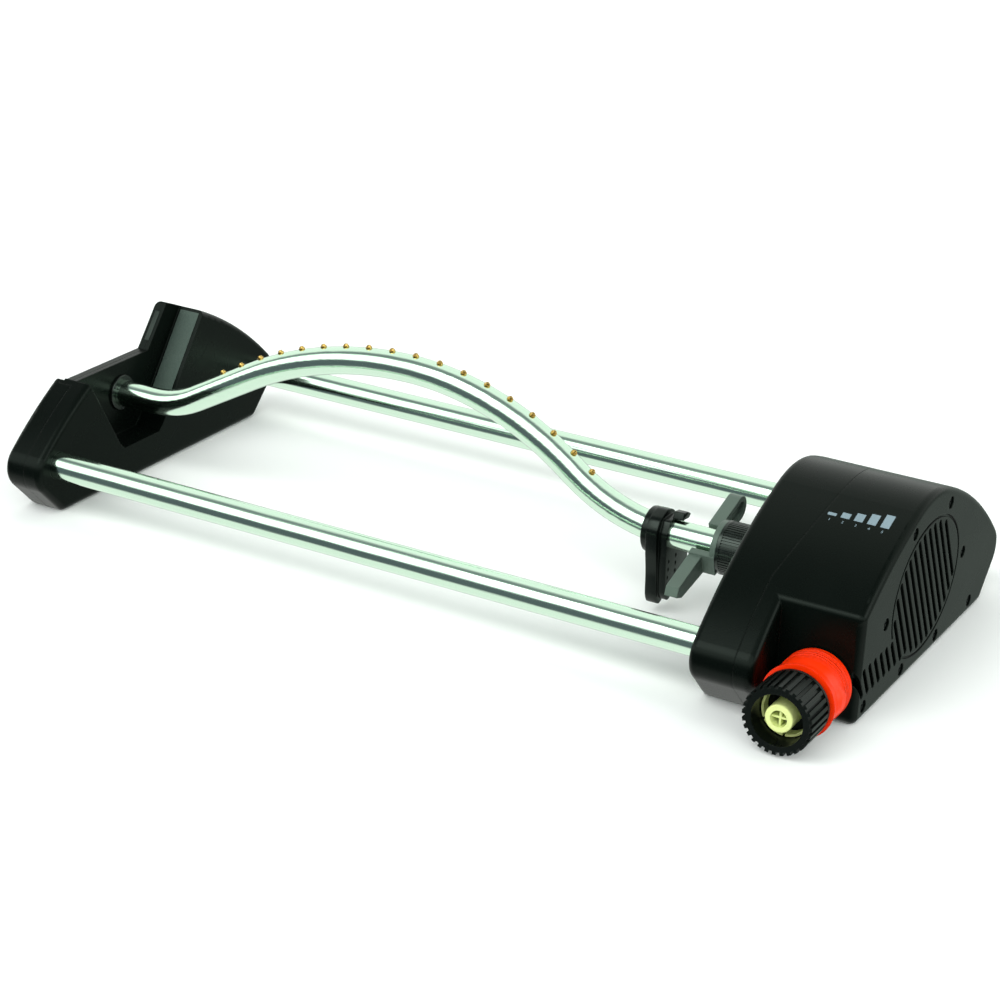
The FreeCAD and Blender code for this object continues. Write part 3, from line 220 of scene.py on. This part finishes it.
class Finish:
    def __init__(self, name):
        self.material = bpy.data.materials.new(name)
        self.material.use_nodes = True
        self.tree = self.material.node_tree
        self.shader = self.tree.nodes["Principled BSDF"]
        self.spot = self.node("ShaderNodeTexCoord").outputs["Object"]

    def node(self, kind, **values):
        node = self.tree.nodes.new(kind)
        for key, value in values.items():
            setattr(node, key, value)
        return node

    def link(self, out, into):
        self.tree.links.new(out, into)

    def noise(self, scale, detail=3, stretch=None):
        noise = self.node("ShaderNodeTexNoise")
        noise.inputs["Scale"].default_value = scale
        noise.inputs["Detail"].default_value = detail
        spot = self.spot
        if stretch:
            mapping = self.node("ShaderNodeMapping")
            mapping.inputs["Scale"].default_value = stretch
            self.link(spot, mapping.inputs[0])
            spot = mapping.outputs[0]
        self.link(spot, noise.inputs["Vector"])
        return noise.outputs["Fac"]

    def spread(self, value, low, high):
        reach = self.node("ShaderNodeMapRange")
        reach.inputs["To Min"].default_value = low
        reach.inputs["To Max"].default_value = high
        self.link(value, reach.inputs["Value"])
        return reach.outputs[0]

    def blend(self, value, dark, light):
        mix = self.node("ShaderNodeMix", data_type="RGBA")
        mix.inputs["A"].default_value = (*dark, 1)
        mix.inputs["B"].default_value = (*light, 1)
        self.link(value, mix.inputs["Factor"])
        return mix.outputs["Result"]

    def wave(self, axis, pitch):
        parts = self.node("ShaderNodeSeparateXYZ")
        self.link(self.spot, parts.inputs[0])
        turn = self.node("ShaderNodeMath", operation="MULTIPLY")
        turn.inputs[1].default_value = 2 * math.pi / pitch
        self.link(parts.outputs[axis], turn.inputs[0])
        wave = self.node("ShaderNodeMath", operation="SINE")
        self.link(turn.outputs[0], wave.inputs[0])
        return wave.outputs[0]

    def between(self, axis, low, high, edge):
        parts = self.node("ShaderNodeSeparateXYZ")
        self.link(self.spot, parts.inputs[0])
        rise = self.node("ShaderNodeMapRange")
        rise.inputs["From Min"].default_value = low
        rise.inputs["From Max"].default_value = low + edge
        fall = self.node("ShaderNodeMapRange")
        fall.inputs["From Min"].default_value = high
        fall.inputs["From Max"].default_value = high - edge
        both = self.node("ShaderNodeMath", operation="MULTIPLY")
        for reach, slot in ((rise, 0), (fall, 1)):
            self.link(parts.outputs[axis], reach.inputs["Value"])
            self.link(reach.outputs[0], both.inputs[slot])
        return both.outputs[0]

    def times(self, first, second):
        product = self.node("ShaderNodeMath", operation="MULTIPLY")
        self.link(first, product.inputs[0])
        self.link(second, product.inputs[1])
        return product.outputs[0]

    def soften(self, radius):
        edge = self.node("ShaderNodeBevel", samples=4)
        edge.inputs["Radius"].default_value = radius * mm
        self.edge = edge.outputs[0]
        self.link(self.edge, self.shader.inputs["Normal"])

    def bump(self, value, distance, strength=1.0):
        bump = self.node("ShaderNodeBump")
        if hasattr(self, "edge"):
            self.link(self.edge, bump.inputs["Normal"])
        bump.inputs["Distance"].default_value = distance
        bump.inputs["Strength"].default_value = strength
        self.link(value, bump.inputs["Height"])
        self.link(bump.outputs[0], self.shader.inputs["Normal"])


def moulded(name, look):
    finish = Finish(name)
    colour = Vector(look["colour"])
    cloud = finish.noise(35, 4)
    finish.link(finish.blend(cloud, colour * 0.85, colour * 1.12),
                finish.shader.inputs["Base Color"])
    finish.link(finish.spread(cloud, look["roughness"] - 0.05, look["roughness"] + 0.05),
                finish.shader.inputs["Roughness"])
    finish.shader.inputs["Specular IOR Level"].default_value = look["specular"]
    finish.shader.inputs["Specular Tint"].default_value = (0.82, 1.0, 0.88, 1)
    finish.soften(look["soft"])
    finish.bump(finish.noise(look["grain"], 2), look["depth"])
    return finish.material


# the fine rings lie between the two Y values of rings
ringedOrange = dict(colour=(1.0, 0.032, 0.0), roughness=0.34, specular=0.22, soft=0.5,
                    pitch=0.0011, ringDepth=0.00012, rings=(-0.0862, -0.0752), ringEdge=0.001)
tubeLook = dict(colour=(0.66, 0.86, 0.70), shade=0.93, roughness=(0.08, 0.20),
                streaks=(0.12, 7, 7), ripples=(0.25, 5, 5), depth=0.00006, strength=0.8)


def ringedPlastic(name, look):
    finish = Finish(name)
    colour = Vector(look["colour"])
    cloud = finish.noise(45, 4)
    finish.link(finish.blend(cloud, colour * 0.86, colour), finish.shader.inputs["Base Color"])
    finish.link(finish.spread(cloud, look["roughness"] - 0.05, look["roughness"] + 0.06),
                finish.shader.inputs["Roughness"])
    finish.shader.inputs["Specular IOR Level"].default_value = look["specular"]
    finish.soften(look["soft"])
    rings = finish.times(finish.wave("Y", look["pitch"]),
                         finish.between("Y", *look["rings"], look["ringEdge"]))
    finish.bump(rings, look["ringDepth"])
    return finish.material


def polishedTube(name, look):
    finish = Finish(name)
    colour = Vector(look["colour"])
    finish.shader.inputs["Metallic"].default_value = 1.0
    streak = finish.noise(90, 6, stretch=look["streaks"])
    finish.link(finish.blend(streak, colour * look["shade"], colour),
                finish.shader.inputs["Base Color"])
    finish.link(finish.spread(streak, *look["roughness"]), finish.shader.inputs["Roughness"])
    finish.bump(finish.noise(140, 6, stretch=look["ripples"]), look["depth"], look["strength"])
    return finish.material


def turnedMetal(name, colour, roughness):
    finish = Finish(name)
    finish.shader.inputs["Metallic"].default_value = 1.0
    ring = finish.noise(1800, 2)
    finish.link(finish.blend(ring, Vector(colour) * 0.75, Vector(colour)),
                finish.shader.inputs["Base Color"])
    finish.link(finish.spread(ring, roughness - 0.06, roughness + 0.08),
                finish.shader.inputs["Roughness"])
    return finish.material


materials = {name: moulded(name, look) for name, look in finishes.items()}
materials["connectorOrange"] = ringedPlastic("connectorOrange", ringedOrange)
materials["tubeMetal"] = polishedTube("tubeMetal", tubeLook)
materials["nozzleBrass"] = turnedMetal("nozzleBrass", (0.66, 0.44, 0.12), 0.26)
materials["screwSteel"] = turnedMetal("screwSteel", (0.05, 0.055, 0.055), 0.4)
print("finishes ready:", len(materials))

slotFinish = dict(housing_black="housingBlack", tube_metal="tubeMetal", screw_steel="screwSteel",
                  bearing_plastic="bearingBlack", nozzle_brass="nozzleBrass",
                  control_black="controlBlack", seal_rubber="sealRubber",
                  motor_plastic="motorGrey", gear_plastic="gearIvory",
                  connector_orange="connectorOrange", connector_black="connectorBlack",
                  tail_lime="tailLime")

# the slotted arm takes the grey of painted sheen; the collar keeps its own knurl finish
ownFinish = dict(slotted_arm="armPaintedSheen", range_collar="knurlBlack")

for row in frame["record"]["subparts"]:
    node = nodes[row["node"]]
    finish = ownFinish.get(row["node"], slotFinish[row["material_slot"]])
    if not node.material_slots:
        node.data.materials.append(materials[finish])
    for slot in node.material_slots:
        slot.material = materials[finish]
nodes["connector_sleeve"].visible_diffuse = False   # keeps its colour from tinting the floor
print("nodes painted")

# helpers for new pieces: sizes are given in millimetres and turned to metres at the end


def finished(bm, name, finish, body, stands=()):
    bmesh.ops.recalc_face_normals(bm, faces=bm.faces)
    bmesh.ops.transform(bm, matrix=Matrix.Scale(mm, 4), verts=bm.verts)
    mesh = bpy.data.meshes.new(name)
    bm.to_mesh(mesh)
    bm.free()
    mesh.materials.append(materials[finish])
    mesh.shade_smooth()
    mesh.set_sharp_from_angle(angle=math.radians(38))
    piece = bpy.data.objects.new(name, mesh)
    bpy.context.scene.collection.objects.link(piece)
    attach(piece, body)
    if stands:
        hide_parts(*stands)


def outlineBlock(bm, outline, x0, x1, cornerRound, rimRound, rimSteps=3):
    verts = [bm.verts.new((x0, y, z)) for y, z in outline]
    face = bm.faces.new(verts)
    grown = onlyVerts(bmesh.ops.extrude_face_region(bm, geom=[face])["geom"])
    bmesh.ops.translate(bm, vec=(x1 - x0, 0, 0), verts=grown)
    mine = set(verts) | set(grown)
    upright = [edge for edge in bm.edges if set(edge.verts) <= mine
               and abs(edge.verts[0].co.x - edge.verts[1].co.x) > 0.1]
    before = {face for face in bm.faces if not set(face.verts) <= mine}
    bmesh.ops.bevel(bm, geom=upright, offset=cornerRound, offset_type="OFFSET", segments=5,
                    profile=0.5, affect="EDGES", material=-1, clamp_overlap=True)
    rims = [edge for edge in bm.edges
            if not set(edge.link_faces) & before and len(edge.link_faces) == 2
            and abs(edge.verts[0].co.x - edge.verts[1].co.x) < 1e-6
            and any(abs(face.normal.x) > 0.9 for face in edge.link_faces)
            and any(abs(face.normal.x) < 0.1 for face in edge.link_faces)]
    bmesh.ops.bevel(bm, geom=rims, offset=rimRound, offset_type="OFFSET", segments=rimSteps,
                    profile=0.5, affect="EDGES", material=-1, clamp_overlap=True)


def turnedRing(bm, profile, centre, steps=64):
    verts = [bm.verts.new((x, centre[0], centre[1] + radius)) for x, radius in profile]
    edges = [bm.edges.new(pair) for pair in zip(verts, verts[1:] + verts[:1])]
    bmesh.ops.spin(bm, geom=verts + edges, cent=(0, centre[0], centre[1]), axis=(1, 0, 0),
                   angle=2 * math.pi, steps=steps, use_merge=True)


def dome(bm, centre, radius, height):
    made = bmesh.ops.create_uvsphere(bm, u_segments=12, v_segments=8, radius=radius)["verts"]
    bmesh.ops.scale(bm, vec=(height / radius, 1, 1), verts=made)
    bmesh.ops.translate(bm, vec=centre, verts=made)


# clamp lever

lever = dict(axis=(-7.2, 44.0), x0=103.4, middle=109.6, x1=114.0,
             leaf=[(-12.4, 4), (-11.6, -8), (-9.4, -20), (-8.4, -34), (-5.6, -38.6), (-1.0, -38.6),
                   (4.0, -33.4), (14.0, -27.4), (19.0, -22.6), (19.6, -14.6), (12.6, 3.6),
                   (7.4, 10.2), (0, 12.8), (-8.6, 9.6)],
             plate=[(-9.4, 2), (-8.6, -10), (-6.8, -32), (-4.4, -35.6), (-0.6, -35.4),
                    (4.6, -30.6), (13.6, -24.4), (17.2, -20.4), (17.4, -13.6), (11.0, 3.4),
                    (5.6, 9.0), (-5.6, 9.0)],
             dashes=[(-4.6, -14), (-4.8, -18.4), (-5.0, -22.8), (-5.0, -27.2),
                     (3.4, -13), (3.6, -17.4), (3.6, -21.8), (3.0, -26.2)],
             finger=[(-1.4, 8.6), (6.4, 7.8), (8.4, 9.6), (5.4, 11.4), (0.4, 12.2)],
             ring=[(99.9, 8.1), (99.9, 11.0), (100.5, 11.8), (101.6, 12.0), (104.0, 12.0),
                   (104.0, 8.1)],
             plateSunk=0.8, fingerSunk=1.2, fingerReach=4.4, dashSize=(0.45, 0.65, 1.5))


def addLever(look):
    bm = bmesh.new()
    axisY, axisZ = look["axis"]
    leaf, plate, finger = ([(axisY + y, axisZ + z) for y, z in look[part]]
                           for part in ("leaf", "plate", "finger"))
    outlineBlock(bm, leaf, look["x0"], look["middle"], cornerRound=2.4, rimRound=1.5, rimSteps=4)
    outlineBlock(bm, plate, look["middle"] - look["plateSunk"], look["x1"],
                 cornerRound=1.6, rimRound=0.9)
    outlineBlock(bm, finger, look["x1"] - look["fingerSunk"], look["x1"] + look["fingerReach"],
                 cornerRound=0.5, rimRound=0.4, rimSteps=2)
    turnedRing(bm, look["ring"], look["axis"])
    for y, z in look["dashes"]:
        made = bmesh.ops.create_uvsphere(bm, u_segments=10, v_segments=6, radius=1)["verts"]
        bmesh.ops.scale(bm, vec=look["dashSize"], verts=made)
        bmesh.ops.translate(bm, vec=(look["x1"], axisY + y, axisZ + z), verts=made)
    finished(bm, "clampLever", "controlBlack", "spray_bar", ["clamp_lever"])


addLever(lever)
print("clamp lever shaped")

# foot: textured strip on the recess wall, its grey painted light where the wall catches light,
# small panel on the fin, bolts round the pivot

# the recess strip is a thin sheet whose grey colour is painted light on the lit wall
strip = dict(name="recessPaintedLightStrip", finish="grainedPaintedLight", x0=-234.0, x1=-221.0, low=36.0, high=79.0,
             wallY=9.3, wallZ=24.0, lean=1.43, thick=0.35, edgeRound=0.15)
finPanel = dict(name="finPanel", finish="panelBlack", x0=-240.4, x1=-237.4, low=66.5, high=81.0,
                wallY=17.8, wallZ=62.0, lean=1.3, thick=0.3, edgeRound=0.15)
pivot = dict(axis=(-7.2, 44.0), face=-234.0, ring=9.1, bolts=(25, 145, 265),
             size=0.85, height=0.6)


def addStrip(look):
    bm = bmesh.new()
    length = (look["high"] - look["low"]) * math.sqrt(1 + 1 / look["lean"] ** 2)
    face = bmesh.ops.create_grid(bm, x_segments=1, y_segments=1, size=0.5)["verts"]
    bmesh.ops.scale(bm, vec=(look["x1"] - look["x0"], length, 1), verts=face)
    grown = bmesh.ops.extrude_face_region(bm, geom=bm.faces[:])["geom"]
    bmesh.ops.translate(bm, vec=(0, 0, look["thick"]), verts=onlyVerts(grown))
    bmesh.ops.bevel(bm, geom=bm.edges[:], offset=look["edgeRound"], offset_type="OFFSET",
                    segments=2, profile=0.5, affect="EDGES", material=-1)
    slope = math.atan2(look["lean"], 1)
    bmesh.ops.rotate(bm, matrix=Matrix.Rotation(slope, 3, "X"), verts=bm.verts)
    middle = (look["low"] + look["high"]) / 2
    bmesh.ops.translate(bm, verts=bm.verts,
                        vec=((look["x0"] + look["x1"]) / 2,
                             look["wallY"] + (middle - look["wallZ"]) / look["lean"], middle))
    finished(bm, look["name"], look["finish"], "base")


def addPivotBolts(look):
    bm = bmesh.new()
    for turn in look["bolts"]:
        spot = math.radians(turn)
        dome(bm, (look["face"], look["axis"][0] + look["ring"] * math.cos(spot),
                  look["axis"][1] + look["ring"] * math.sin(spot)),
             look["size"], look["height"])
    finished(bm, "pivotBolts", "screwSteel", "base")


addStrip(strip)
addStrip(finPanel)
addPivotBolts(pivot)
print("foot details added")

# plain scale printed on the gearbox: rising bars over the numbers 1 to 5

scale = dict(x=201.0, pitch=6.75, width=4.4, foot=-24.9, step=1.7, count=5, rise=0.10, thick=0.06,
             numberSize=2.2, numberY=-28.2)


def addBar(bm, x0, x1, y0, y1):
    made = bmesh.ops.create_grid(bm, x_segments=2, y_segments=4, size=0.5)["verts"]
    bmesh.ops.scale(bm, vec=(x1 - x0, y1 - y0, 1), verts=made)
    bmesh.ops.translate(bm, vec=((x0 + x1) / 2, (y0 + y1) / 2, 0), verts=made)


def addNumber(bm, text, x, y, size):
    letters = bpy.data.curves.new("number", "FONT")
    letters.body = text
    letters.size = size
    letters.align_x = "CENTER"
    holder = bpy.data.objects.new("number", letters)
    bpy.context.scene.collection.objects.link(holder)
    mesh = bpy.data.meshes.new_from_object(holder)
    bpy.data.objects.remove(holder)
    known = set(bm.verts)
    bm.from_mesh(mesh)
    bpy.data.meshes.remove(mesh)
    bmesh.ops.translate(bm, vec=(x, y, 0),
                        verts=[vert for vert in bm.verts if vert not in known])


def layOnGearbox(bm, rise, thick):
    host = nodes["housing_outer_shell"]
    for vert in bm.verts:
        struck, spot, normal, _ = host.ray_cast(Vector((vert.co.x * mm, vert.co.y * mm, 0.2)),
                                                Vector((0, 0, -1)))
        if struck:
            vert.co = spot / mm + normal * rise
    bmesh.ops.recalc_face_normals(bm, faces=bm.faces)
    bmesh.ops.solidify(bm, geom=bm.faces[:], thickness=thick)


def addScale(look):
    bars, numbers = bmesh.new(), bmesh.new()
    for index in range(look["count"]):
        x0 = look["x"] + index * look["pitch"]
        x1 = x0 + look["width"]
        addBar(bars, x0, x1, look["foot"], look["foot"] + (index + 1) * look["step"])
        addNumber(numbers, str(index + 1), (x0 + x1) / 2, look["numberY"], look["numberSize"])
    for bm, name in ((bars, "scaleBars"), (numbers, "scaleNumbers")):
        layOnGearbox(bm, look["rise"], look["thick"])
        finished(bm, name, "printPale", "base")


addScale(scale)
print("scale printed")
